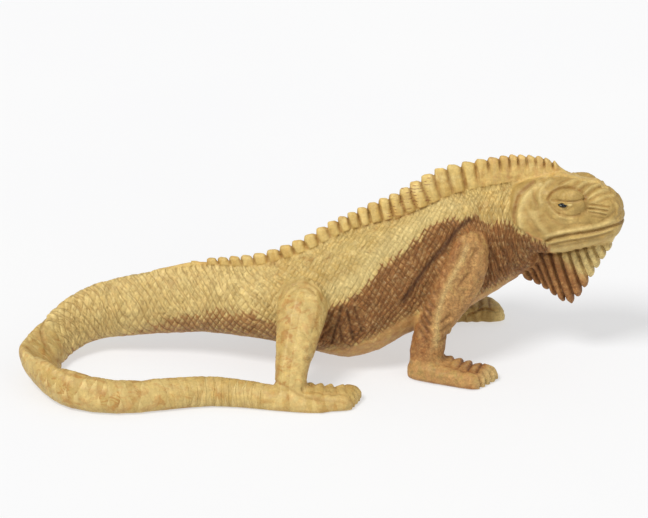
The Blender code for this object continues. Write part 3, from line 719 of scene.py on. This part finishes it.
def rough_block():
    """A fine closed mesh of the solid, its facets smoothed away except where edges belong."""
    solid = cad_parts["iguana"]
    block = bpy.data.objects.new("carved_iguana", solid.data.copy())
    bpy.context.scene.collection.objects.link(block)
    block.data.materials.clear()
    select_only(block)
    bpy.ops.object.mode_set(mode="EDIT")
    bpy.ops.mesh.select_all(action="SELECT")
    bpy.ops.mesh.remove_doubles(threshold=0.000001)
    bpy.ops.object.mode_set(mode="OBJECT")
    apply(block, "REMESH", mode="VOXEL", voxel_size=GRAIN_OF_MESH, use_smooth_shade=True)
    at = survey(to_drawing(corners_of(block)))
    face = 0.5 * at.head * step(30, 20, np.abs(at.v - 18))
    crisp = np.maximum.reduce([at.crest, at.dewlap, 0.7 * at.foot, face])
    soft = np.round((1 - crisp) * 5).astype(int)
    weights = block.vertex_groups.new(name="soft")
    for level in range(1, 6):
        weights.add(np.flatnonzero(soft == level).tolist(), level / 5, "REPLACE")
    apply(block, "SMOOTH", factor=0.5, iterations=FIRST_ROUNDS)
    apply(block, "SMOOTH", factor=0.5, iterations=SOFT_ROUNDS, vertex_group="soft")
    throat = np.linalg.norm(at.points - np.array(THROAT), axis=1) < THROAT_REACH
    for corner in JAW_CORNERS:
        throat |= np.linalg.norm(at.points - np.array(corner), axis=1) < JAW_CORNER_REACH
    rounded = block.vertex_groups.new(name="rounded")
    rounded.add(np.flatnonzero(throat).tolist(), 1.0, "REPLACE")
    apply(block, "SMOOTH", factor=0.5, iterations=CORNER_ROUNDS, vertex_group="rounded")
    block.vertex_groups.clear()
    return block


def refine(block, chosen):
    """Halves the faces whose corners are all chosen."""
    faces = np.array([all(chosen[k] for k in face.vertices) for face in block.data.polygons])
    for what in (block.data.vertices, block.data.edges):
        what.foreach_set("select", np.zeros(len(what), bool))
    block.data.polygons.foreach_set("select", faces)
    select_only(block)
    bpy.context.tool_settings.mesh_select_mode = (False, False, True)
    bpy.ops.object.mode_set(mode="EDIT")
    bpy.ops.mesh.subdivide(number_cuts=1, smoothness=0.0)
    bpy.ops.object.mode_set(mode="OBJECT")


def carve(block):
    """Cuts scales, folds and grooves into the block."""
    at = survey(to_drawing(corners_of(block)))
    refine(block, (at.head > 0.5) & (at.h > 4) & (at.w < 22) | (at.dewlap > 0.5) | (at.crest > 0.5))
    places = corners_of(block)
    at = survey(to_drawing(places))
    at.normals = corners_of(block, "normal")
    carving(at)
    along, above, on_side = eye_place(at)
    from_eye = np.hypot(along / EYE_HALF_LENGTH, above / np.where(above > 0, EYE_HEIGHT, EYE_DEPTH))
    inside = step(1.1, 0.9, from_eye) * on_side
    socket = bell(from_eye - 1.15, 0.22) * on_side * at.head
    cut = at.cut * (1 - inside) - 0.5 * inside * np.clip(1 - from_eye ** 2, 0, 1) + 0.45 * socket
    above_floor = step(0.4, 2.0, at.z)
    moved = places - at.normals * (cut * above_floor / 1000)[:, None]
    moved[:, 2] = np.maximum(moved[:, 2], float(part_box("iguana")[0][2]))
    block.data.vertices.foreach_set("co", moved.ravel())
    block.data.update()


def thin_out(block):
    """Leaves the triangles where the carving needs them."""
    count = sum(len(face.vertices) - 2 for face in block.data.polygons)
    if count > TRIANGLES:
        apply(block, "DECIMATE", ratio=TRIANGLES / count)
    block.data.polygons.foreach_set("use_smooth", np.ones(len(block.data.polygons), bool))


def tones(at):
    """Where the wood is tinted, smudged, worn or etched, and where shade, light and highlights are painted
    on; the finish reads each by its name.
    """
    x = at.x
    on_rump = step(290, 240, x)
    below_thigh = at.flank_v - THIGH_MIDDLE[1]
    front_foot = at.foot * at.in_front
    before_toes = step(0.9, 0.75, at.foot_along)
    under_jaw = at.head * step(-22, -29, at.v)
    on_snout = bell(np.hypot(at.head_u - SNOUT_SIDE[0], at.head_v - SNOUT_SIDE[1]), 9)
    olive = [at.hind_leg * (0.75 + 0.25 * step(10, -20, below_thigh)),
             step(2.3, 2.7, at.angle) * at.trunk * at.body,
             (0.6 + 0.4 * at.in_front * before_toes) * at.foot,
             0.85 * at.tail]
    # painted shade on the head, deepest beside the snout and less under the jaw, and on the front feet short
    # of the toe ends; it also gives the head its darker tone
    shaded = [0.85 * at.head * (1 - 0.75 * under_jaw) + 0.45 * on_snout * at.head,
              front_foot * step(0.92, 0.78, at.foot_along)]
    smudged = [at.tail * at.trunk * step(215, 180, x), 0.5 * at.tail, at.hind_leg * step(5, 20, below_thigh),
               0.6 * at.head, 0.9 * front_foot * before_toes, 0.5 * at.hind_leg, 0.5 * on_rump]
    worn = [at.ridge, np.clip(at.worn, 0, 1), 0.8 * np.clip(at.knuckle_tops, 0, 1) * at.in_front,
            0.9 * front_foot * step(0.82, 0.93, at.foot_along)]
    over_stain = bell(at.below_top + 14, 13) * step(300, 330, x) * step(470, 440, x)
    # painted light under the jaw and on the throat fan's upper part, which the jaw shades; paler wood in a
    # band above the stain and on the rump
    painted_light_and_pale = [over_stain * at.trunk * at.body, 0.5 * step(300, 250, x) * at.trunk * at.body,
              0.75 * at.pale_fan, 0.6 * under_jaw]
    return {
        "olive": np.maximum.reduce(olive),
        "etched": 0.30 + 0.34 * step(280, 240, x) * at.body + 0.16 * step(455, 480, x) + 0.30 * at.tail,
        "dashed": np.maximum(on_rump * at.body, at.tail),
        "hatched": 1 - 0.25 * on_rump * at.body - 0.75 * at.tail,
        "shaded": np.maximum.reduce(shaded),
        "ringed": at.tail * at.trunk * step(170, 205, x),
        "smudged": np.maximum.reduce(smudged),
        "stipple": at.front_leg + 0.6 * front_foot + 0.85 * at.dewlap + 0.85 * at.stain * at.trunk,
        "worn": np.maximum.reduce(worn),
        "painted_light_and_pale": np.maximum.reduce(painted_light_and_pale),
    }


def paint(block):
    """Stores the scales, the cuts, the stain and the eyes' place, for the finish."""
    at = survey(to_drawing(corners_of(block)))
    at.normals = corners_of(block, "normal")
    carving(at)
    staining(at)
    along_eye, above_eye, on_side = eye_place(at)
    layers = {
        "cuts": at.dark, "stain": at.stain, "grime": at.grime,
        "marks": step(384, 390, at.x) * step(434, 428, at.x) * at.crest,
        "first_cuts": at.first_cuts, "second_cuts": at.second_cuts,
        "rough": at.trunk * at.scale_depth, "backhand": at.backhand,
        "along_eye": along_eye, "above_eye": above_eye, "eye_side": on_side,
    }
    layers.update(tones(at))
    for name, values in layers.items():
        layer = block.data.attributes.new(name, "FLOAT", "POINT")
        layer.data.foreach_set("value", np.asarray(values).astype(np.float32))


class Finish:
    """A node material, built up step by step."""

    def __init__(self, name):
        self.material = bpy.data.materials.new(name)
        self.material.use_nodes = True
        self.tree = self.material.node_tree
        self.shader = self.tree.nodes["Principled BSDF"]

    def add(self, kind, name="", **settings):
        node = self.tree.nodes.new(kind)
        node.label = name
        for key, value in settings.items():
            if key in node.inputs:
                self.put(node.inputs[key], value)
            else:
                setattr(node, key, value)
        return node

    def put(self, socket, value):
        if isinstance(value, bpy.types.NodeSocket):
            self.tree.links.new(value, socket)
        else:
            socket.default_value = value

    def layer(self, name):
        return self.add("ShaderNodeAttribute", name, attribute_name=name).outputs["Fac"]

    def maths(self, operation, first, second=0.0, clamp=False):
        node = self.add("ShaderNodeMath", operation=operation, use_clamp=clamp)
        self.put(node.inputs[0], first)
        self.put(node.inputs[1], second)
        return node.outputs[0]

    def times(self, first, second, clamp=False):
        return self.maths("MULTIPLY", first, second, clamp)

    def plus(self, first, second):
        return self.maths("ADD", first, second)

    def less(self, first, second):
        return self.maths("SUBTRACT", first, second)

    def larger(self, first, second):
        return self.maths("MAXIMUM", first, second)

    def mix(self, share, first, second, blend="MIX"):
        node = self.add("ShaderNodeMix", data_type="RGBA", blend_type=blend)
        self.put(node.inputs[0], share)
        self.put(node.inputs[6], first)
        self.put(node.inputs[7], second)
        return node.outputs[2]

    def noise(self, scale, detail=3.0, stretch=(1, 1, 1), rough=0.55, swirl=0.0):
        place = self.add("ShaderNodeTexCoord").outputs["Object"]
        place = self.add("ShaderNodeMapping", Vector=place, Scale=stretch).outputs[0]
        return self.add("ShaderNodeTexNoise", Vector=place, Scale=scale, Detail=detail, Roughness=rough,
                        Distortion=swirl).outputs["Fac"]

    def strokes(self, along, across, fineness):
        """Long uneven strokes that run with one count and are fine across the other."""
        place = self.add("ShaderNodeCombineXYZ", X=self.times(across, fineness), Y=self.times(along, 0.45))
        return self.add("ShaderNodeTexNoise", Vector=place.outputs[0], Scale=1.0, Detail=2.5,
                        Roughness=0.6).outputs["Fac"]

    def ranged(self, value, low, high, to_low=0.0, to_high=1.0):
        node = self.add("ShaderNodeMapRange", interpolation_type="SMOOTHSTEP")
        self.put(node.inputs["Value"], value)
        for name, number in (("From Min", low), ("From Max", high), ("To Min", to_low), ("To Max", to_high)):
            node.inputs[name].default_value = number
        return node.outputs["Result"]


PALE = (0.69, 0.49, 0.160, 1)
PALE_WARM = (0.60, 0.38, 0.105, 1)
PALE_LIGHT = (0.82, 0.64, 0.265, 1)
OLIVE = (0.45, 0.31, 0.10, 1)
HEAD_TONE_AND_SHADE = (0.43, 0.280, 0.082, 1)
SMUDGE = (0.45, 0.225, 0.055, 1)
CUT_IN_PALE = (0.28, 0.125, 0.030, 1)
STAIN_LIGHT = (0.53, 0.285, 0.095, 1)
STAIN = (0.36, 0.150, 0.042, 1)
STAIN_TIP = (0.60, 0.40, 0.19, 1)
# dark stain, also the colour of the painted shadow behind the front legs
DARK_STAIN_AND_SHADE = (0.075, 0.026, 0.009, 1)
RED_MARKS = (0.22, 0.045, 0.025, 1)
EYE_BLACK = (0.006, 0.006, 0.007, 1)
EYE_GLINT = (0.20, 0.23, 0.19, 1)
FLOOR_COOL = (0.36, 0.36, 0.366, 1)
FLOOR_PLAIN = (0.37, 0.37, 0.37, 1)
FLOOR_GLOW = 0.53
SKY_STRENGTH = 0.50


def carved_scales(finish):
    """The scales' crisp cuts, nearness to a scale's tip, their height, and a value of each scale's own."""
    first, second = finish.layer("first_cuts"), finish.layer("second_cuts")
    backhand = finish.layer("backhand")
    corner = finish.add("ShaderNodeCombineXYZ", X=finish.maths("FLOOR", first),
                        Y=finish.maths("FLOOR", second))
    own = finish.add("ShaderNodeTexWhiteNoise", Vector=corner.outputs[0]).outputs["Value"]
    from_first, from_second = finish.maths("PINGPONG", first, 0.5), finish.maths("PINGPONG", second, 0.5)
    broken = finish.plus(finish.noise(170, 3), finish.times(finish.layer("dashed"), 0.10))
    broken = finish.ranged(broken, 0.42, 0.60, 0.0, 1.0)
    strong = finish.ranged(from_first, 0.02, 0.17, 1, 0)
    weak = finish.ranged(from_second, 0.02, 0.15, 1, 0)
    strong = finish.times(strong, finish.ranged(backhand, 0, 1, 0.75, 0.3))
    weak = finish.times(weak, finish.ranged(backhand, 0, 1, 0.75, 0.9))
    lines = finish.times(finish.larger(strong, weak), broken)
    lines = finish.times(lines, finish.ranged(finish.layer("hatched"), 0.25, 0.75, 0.25, 1.0))
    rings = finish.maths("PINGPONG", finish.times(finish.plus(first, second), 0.5), 0.5)
    rings = finish.times(finish.ranged(rings, 0.0, 0.11, 0.45, 0), finish.layer("ringed"))
    lines = finish.larger(lines, finish.times(rings, finish.ranged(broken, 0, 1, 0.4, 1.0)))
    fore = finish.ranged(finish.strokes(second, first, 3.2), 0.51, 0.64)
    back = finish.ranged(finish.strokes(first, second, 3.8), 0.50, 0.62)
    fore = finish.times(fore, finish.ranged(backhand, 0, 1, 0.75, 0.30))
    back = finish.times(back, finish.ranged(backhand, 0, 1, 0.90, 1.0))
    hatching = finish.times(finish.larger(fore, back), finish.layer("hatched"))
    cuts = finish.larger(lines, finish.times(hatching, 0.85))
    leaning = finish.less(finish.maths("FRACT", second), finish.maths("FRACT", first))
    tip = finish.ranged(leaning, -0.6, 0.95)
    dome = finish.maths("MINIMUM", finish.ranged(from_first, 0, 0.30, 0.2, 1.0),
                        finish.ranged(from_second, 0, 0.26, 0.45, 1.0))
    high = finish.less(finish.plus(finish.times(dome, 0.45), tip), finish.times(hatching, 0.7))
    high = finish.times(high, finish.ranged(finish.layer("hatched"), 0.25, 0.75, 0.35, 1.0))
    high = finish.less(high, rings)
    rough = finish.ranged(finish.layer("rough"), 0.05, 0.55)
    return finish.times(cuts, rough), finish.times(tip, rough), finish.times(high, rough), own


def gouges(finish):
    """Hollows as a gouge leaves them, with sharp rims between."""
    place = finish.add("ShaderNodeTexCoord").outputs["Object"]
    found = []
    for scale, stretch in ((210, (1.0, 1.0, 0.55)), (360, (0.6, 1.0, 1.0))):
        bent = finish.add("ShaderNodeMapping", Vector=place, Scale=stretch, Rotation=(0.3, 0.5, 0.2))
        hollows = finish.add("ShaderNodeTexVoronoi", Vector=bent.outputs[0], Scale=scale, Randomness=0.9)
        found.append(hollows.outputs["Distance"])
    return finish.plus(found[0], finish.times(found[1], 0.5))


def spot(finish, along, above, middle, narrow):
    """1 at a place of the eye and 0 away from it; narrow says how soon, along and above."""
    parts = []
    for value, place, factor in zip((along, above), middle, narrow):
        away = finish.maths("ABSOLUTE", finish.less(value, place))
        parts.append(finish.times(finish.maths("POWER", away, 2.0), factor))
    return finish.ranged(finish.plus(*parts), 0.3, 1.1, 1, 0)


def eye_shape(finish):
    """1 inside the almond of the eye, on the painted glint in it, and at its pale front corner."""
    along, above = finish.layer("along_eye"), finish.layer("above_eye")
    side = finish.layer("eye_side")
    across = finish.maths("ABSOLUTE", finish.maths("DIVIDE", along, EYE_HALF_LENGTH))
    across = finish.maths("POWER", across, 2.0)
    upper = finish.maths("DIVIDE", above, EYE_HEIGHT)
    lower = finish.maths("DIVIDE", above, -EYE_DEPTH)
    reach = finish.plus(across, finish.larger(upper, lower))
    eye = finish.times(finish.ranged(reach, 0.90, 1.04, 1, 0), side)
    glint = finish.times(spot(finish, along, above, GLINT, (0.30, 1.3)), eye)
    corner = finish.times(spot(finish, along, above, EYE_CORNER, (0.10, 0.70)), side)
    return eye, glint, corner


def pale_wood(finish, grain, own, tips):
    """The bare wood with its grain, olive tinge, smudges and lighter scale tips, with painted light and
    painted shade.
    """
    wood = finish.mix(finish.ranged(finish.noise(60, 3), 0.38, 0.66), PALE, PALE_WARM)
    wood = finish.mix(finish.ranged(finish.noise(120, 3), 0.50, 0.72, 0, 0.8), wood, PALE_LIGHT)
    wood = finish.mix(finish.times(finish.layer("olive"), 0.65), wood, OLIVE)
    wood = finish.mix(finish.ranged(grain, 0.42, 0.72, 0, 0.35), wood, PALE_WARM)
    wood = finish.mix(finish.ranged(finish.noise(150, 4), 0.53, 0.70, 0, 0.60), wood, SMUDGE)
    smears = finish.noise(210, 5, stretch=(0.6, 1, 0.9), rough=0.7, swirl=0.8)
    smears = finish.times(finish.ranged(smears, 0.49, 0.60), finish.layer("smudged"))
    wood = finish.mix(finish.times(smears, 0.85), wood, SMUDGE)
    wood = finish.mix(finish.ranged(own, 0.0, 1.0, 0.0, 0.30), wood, PALE_LIGHT)
    wood = finish.mix(finish.ranged(tips, 0.45, 0.9, 0.0, 0.55), wood, PALE_LIGHT)
    # painted light under the jaw and on the upper throat fan, with paler wood above the stain and on the
    # rump
    wood = finish.mix(finish.times(finish.layer("painted_light_and_pale"), 0.8), wood, PALE_LIGHT)
    patchy = finish.ranged(finish.noise(95, 3), 0.3, 0.65, 0.6, 1.25)
    # painted shade on head and front feet, mixed with the head's darker tone
    shadowed = finish.times(finish.layer("shaded"), patchy, clamp=True)
    return finish.mix(shadowed, wood, HEAD_TONE_AND_SHADE)


def stained_wood(finish, wood, own, tips):
    """The red-brown stain, blotchy and rubbed off the scales' tips."""
    stain = finish.layer("stain")
    blotchy = finish.plus(stain, finish.times(finish.less(finish.noise(330, 3), 0.5), 0.9))
    blotchy = finish.less(blotchy, finish.times(tips, 0.42))
    blotchy = finish.plus(blotchy, finish.times(own, 0.16))
    blotchy = finish.times(blotchy, finish.ranged(stain, 0.02, 0.25), clamp=True)
    brown = finish.mix(finish.ranged(blotchy, 0.0, 0.45), wood, STAIN_LIGHT)
    brown = finish.mix(finish.ranged(blotchy, 0.40, 0.85), brown, STAIN)
    glow = finish.times(finish.ranged(tips, 0.35, 0.85), finish.ranged(stain, 0.15, 0.6))
    glow = finish.times(glow, finish.ranged(finish.noise(300, 3), 0.48, 0.60))
    brown = finish.mix(finish.times(glow, 0.75), brown, STAIN_TIP)
    swirling = finish.noise(300, 4, rough=0.7, swirl=0.6)
    warm = finish.times(finish.ranged(swirling, 0.47, 0.62), finish.ranged(stain, 0.3, 0.8))
    return finish.mix(finish.times(warm, 0.65), brown, STAIN_LIGHT)


def stippling(finish):
    """Small dark swirls and dots, where the stain sits in the pores."""
    swirls = finish.times(finish.ranged(finish.noise(480, 3, rough=0.7, swirl=1.2), 0.47, 0.60), 0.8)
    dots = finish.times(finish.ranged(finish.noise(1050, 2, rough=0.7), 0.54, 0.64), 0.6)
    return finish.times(finish.larger(swirls, dots), finish.layer("stipple"))


def red_marks(finish):
    """Short broken ticks on the crest above the shoulder."""
    place = finish.add("ShaderNodeTexCoord").outputs["Object"]
    bands = finish.add("ShaderNodeTexWave", Vector=place, bands_direction="Z", Scale=172, Distortion=1.2)
    ticks = finish.times(finish.ranged(bands.outputs["Fac"], 0.78, 0.95), finish.layer("marks"))
    return finish.times(ticks, finish.ranged(finish.noise(330, 2), 0.47, 0.6))


def carved_wood():
    """Pale wood with a thin wax, stained red-brown in places, darker in its cuts, with painted eyes."""
    finish = Finish("carved_wood")
    grain = finish.noise(260, 4, stretch=(0.10, 1, 1))
    specks = finish.noise(900, 3)
    cuts, tips, heights, own = carved_scales(finish)
    colour = stained_wood(finish, pale_wood(finish, grain, own, tips), own, tips)

    stain = finish.layer("stain")
    cut_colour = finish.mix(finish.ranged(stain, 0.1, 0.7), CUT_IN_PALE, DARK_STAIN_AND_SHADE)
    etched = finish.larger(finish.layer("etched"), finish.ranged(stain, 0.1, 0.6, 0.0, 0.72))
    # the cuts layer also carries painted shadow under the jaw and under the upper lids
    all_cuts = finish.larger(finish.layer("cuts"), finish.times(cuts, etched))
    cut_share = finish.times(all_cuts, finish.ranged(specks, 0.3, 0.7, 0.55, 0.92))
    colour = finish.mix(cut_share, colour, cut_colour)
    # painted highlight along the front legs' ridges, and pale wear on head ridges, knuckles and toe tips
    colour = finish.mix(finish.times(finish.layer("worn"), 0.5), colour, PALE_LIGHT)
    stipple = stippling(finish)
    colour = finish.mix(finish.times(stipple, 0.42), colour, DARK_STAIN_AND_SHADE)
    # painted shadow along the front leg's armpit crease
    colour = finish.mix(finish.times(finish.layer("grime"), 0.85), colour, DARK_STAIN_AND_SHADE)

    hollows = gouges(finish)
    dapple = finish.times(finish.ranged(specks, 0.3, 0.7, 0.90, 1.06),
                          finish.ranged(hollows, 0.15, 0.95, 1.07, 0.90))
    shade = finish.add("ShaderNodeCombineColor", Red=dapple, Green=dapple, Blue=dapple).outputs[0]
    colour = finish.mix(1.0, colour, shade, "MULTIPLY")
    colour = finish.mix(finish.times(red_marks(finish), 0.85), colour, RED_MARKS)

    eye, glint, corner = eye_shape(finish)
    colour = finish.mix(finish.times(corner, 0.75), colour, PALE_LIGHT)
    colour = finish.mix(eye, colour, EYE_BLACK)
    # painted highlight in the eye
    colour = finish.mix(finish.times(glint, 0.8), colour, EYE_GLINT)
    roughness = finish.ranged(finish.noise(120, 3), 0.3, 0.7, 0.45, 0.62)
    roughness = finish.times(roughness, finish.ranged(eye, 0, 1, 1.0, 0.15))
    finish.put(finish.shader.inputs["Roughness"], roughness)
    finish.put(finish.shader.inputs["Base Color"], colour)
    finish.shader.inputs["Specular IOR Level"].default_value = 0.30

    fine = finish.plus(finish.times(finish.noise(1500, 3), 0.12), finish.times(grain, 0.3))
    fine = finish.plus(fine, finish.times(specks, 0.22))
    smooth_wood = finish.ranged(finish.layer("rough"), 0.05, 0.5, 1.0, 0.35)
    fine = finish.plus(fine, finish.times(finish.times(hollows, smooth_wood), 0.9))
    relief = finish.plus(fine, finish.times(heights, 1.1))
    relief = finish.less(relief, finish.times(stipple, 0.35))
    relief = finish.times(relief, finish.ranged(eye, 0, 1, 1.0, 0.0))
    bump = finish.add("ShaderNodeBump", Strength=0.9, Distance=FINE_RELIEF, Height=relief)
    finish.put(finish.shader.inputs["Normal"], bump.outputs["Normal"])
    return finish.material


def floor_finish():
    """The studio's nearly white floor, a little uneven."""
    finish = Finish("studio_floor")
    shade = finish.mix(finish.ranged(finish.noise(3, 2), 0.3, 0.7, 0, 1), FLOOR_COOL, FLOOR_PLAIN)
    finish.put(finish.shader.inputs["Base Color"], shade)
    finish.shader.inputs["Emission Color"].default_value = (1, 1, 1, 1)
    finish.shader.inputs["Emission Strength"].default_value = FLOOR_GLOW
    finish.shader.inputs["Roughness"].default_value = 0.9
    finish.shader.inputs["Specular IOR Level"].default_value = 0.1
    return finish.material


def in_metres(place):
    """A place of the drawing in the room, as metres."""
    low = np.array(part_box("iguana")[0])
    return Vector((np.array(place, float) - np.array(DRAWING_LOW)) * UNIT + low)


def lamp(name, azimuth, height, softness, power):
    """A sun lamp from the side and height given in degrees."""
    az, el = math.radians(azimuth), math.radians(height)
    spot_in_sky = Vector((math.sin(az) * math.cos(el), -math.cos(az) * math.cos(el), math.sin(el)))
    bpy.ops.object.light_add(type="SUN", location=spot_in_sky)
    light = bpy.context.object
    light.name = name
    light.data.angle = math.radians(softness)
    light.data.energy = power
    light.rotation_euler = (-spot_in_sky).to_track_quat("-Z", "Y").to_euler()


def picture_camera():
    """The camera at the picture's angle, with one unit of the drawing to a pixel."""
    middle_row = PICTURE_SIZE[1] / 2
    row_from_floor = PICTURE_FLOOR - math.sin(CAMERA_HEIGHT) * CAMERA_DEPTH - middle_row
    target = in_metres((PICTURE_SIZE[0] / 2, CAMERA_DEPTH, row_from_floor / math.cos(CAMERA_HEIGHT)))
    back = Vector((0, -math.cos(CAMERA_HEIGHT), math.sin(CAMERA_HEIGHT)))
    bpy.ops.object.camera_add(location=target + back * CAMERA_AWAY)
    camera = bpy.context.object
    camera.rotation_euler = (-back).to_track_quat("-Z", "Y").to_euler()
    camera.data.sensor_width = SENSOR
    camera.data.lens = SENSOR * CAMERA_AWAY / (PICTURE_SIZE[0] * UNIT)
    camera.data.clip_end = 20
    bpy.context.scene.camera = camera


def studio():
    """Floor, lights and camera."""
    floor_height = float(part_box("iguana")[0][2]) - 0.0001
    bpy.ops.mesh.primitive_plane_add(size=12, location=(0, 0, floor_height))
    floor = bpy.context.object
    floor.name = "studio_floor"
    floor.data.materials.append(floor_finish())

    lamp("key", -38, 54, 20, 2.4)
    lamp("fill", 45, 30, 50, 0.35)
    world = bpy.data.worlds.new("studio")
    world.use_nodes = True
    world.node_tree.nodes["Background"].inputs["Color"].default_value = (1, 1, 1, 1)
    world.node_tree.nodes["Background"].inputs["Strength"].default_value = SKY_STRENGTH
    bpy.context.scene.world = world
    bpy.context.scene.view_settings.view_transform = "Standard"
    picture_camera()


def iguana():
    """The dressed figure, which takes the solid's place."""
    block = rough_block()
    carve(block)
    thin_out(block)
    paint(block)
    block.data.materials.append(carved_wood())
    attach(block, "root")
    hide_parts("iguana")


iguana()
studio()
